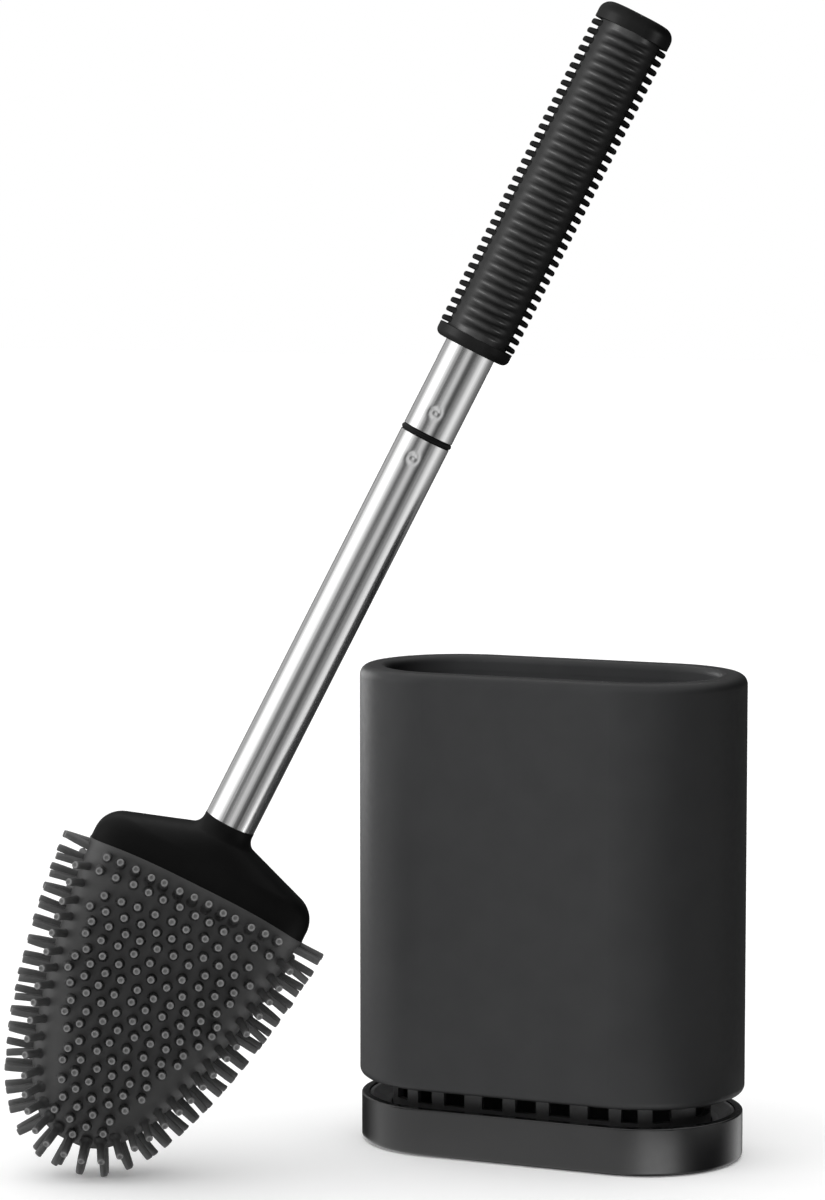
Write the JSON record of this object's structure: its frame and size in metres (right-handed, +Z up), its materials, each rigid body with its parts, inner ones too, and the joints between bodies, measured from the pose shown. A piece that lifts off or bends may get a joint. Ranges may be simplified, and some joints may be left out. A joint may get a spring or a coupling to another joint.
{
  "type": "toilet brush and holder set",
  "caption": "Oval double-walled brush cup on a vented drip tray, with a silicone-headed toilet brush on a two-piece screw-together steel handle standing beside it.",
  "frame": {"origin": "centre of the tray's underside, on the floor", "axes": "+Z up, +X along the holder's long side, -Y towards the holder's front"},
  "size_m": [0.2026, 0.1444, 0.3574],
  "materials": {
    "tray_plastic": "semi-gloss moulded",
    "insert_plastic": "satin moulded",
    "cup_plastic": "matte",
    "neck_plastic": "satin",
    "silicone": "soft, slightly translucent",
    "steel": "satin drawn",
    "stud_metal": "turned",
    "seal_rubber": "matte",
    "grip_rubber": "soft matte"
  },
  "bodies": {
    "base": {"tray": "tray_plastic"},
    "insert": {"drip_insert": "insert_plastic"},
    "cup": {"vent_ring": "insert_plastic", "cup_shell": "cup_plastic", "cup_liner": "cup_plastic"},
    "brush": {"neck": "neck_plastic", "bristle_sleeve": "silicone", "lower_tube": "steel", "socket_insert": "neck_plastic"},
    "seam": {"seam_ring": "seal_rubber"},
    "upper_rod": {"stud_insert": "stud_metal", "upper_tube": "steel", "grip_sleeve": "grip_rubber"}
  },
  "joints": [
    {"name": "insert_lift", "type": "slide", "parent": "base", "child": "insert", "axis": [0, 0, 1], "range_m": [0, 0.04]},
    {"name": "cup_lift", "type": "slide", "parent": "insert", "child": "cup", "axis": [0, 0, 1], "range_m": [0, 0.08]},
    {"name": "brush_lift", "type": "slide", "parent": "base", "child": "brush", "axis": [0, 0, 1], "range_m": [0, 0.2]},
    {"name": "rod_draw", "type": "slide", "parent": "brush", "child": "seam", "axis": [0.4158, 0.1782, 0.8918], "range_m": [0, 0.0136]},
    {"name": "rod_unscrew", "type": "hinge", "parent": "seam", "child": "upper_rod", "pos_m": [-0.02081, -0.05259, 0.22643], "axis": [0.4158, 0.1782, 0.8918], "range_deg": [0, 3240]}
  ],
  "couplings": [
    {"joint": "rod_draw", "follows": "rod_unscrew", "m_per_rad": 0.00023873}
  ]
}
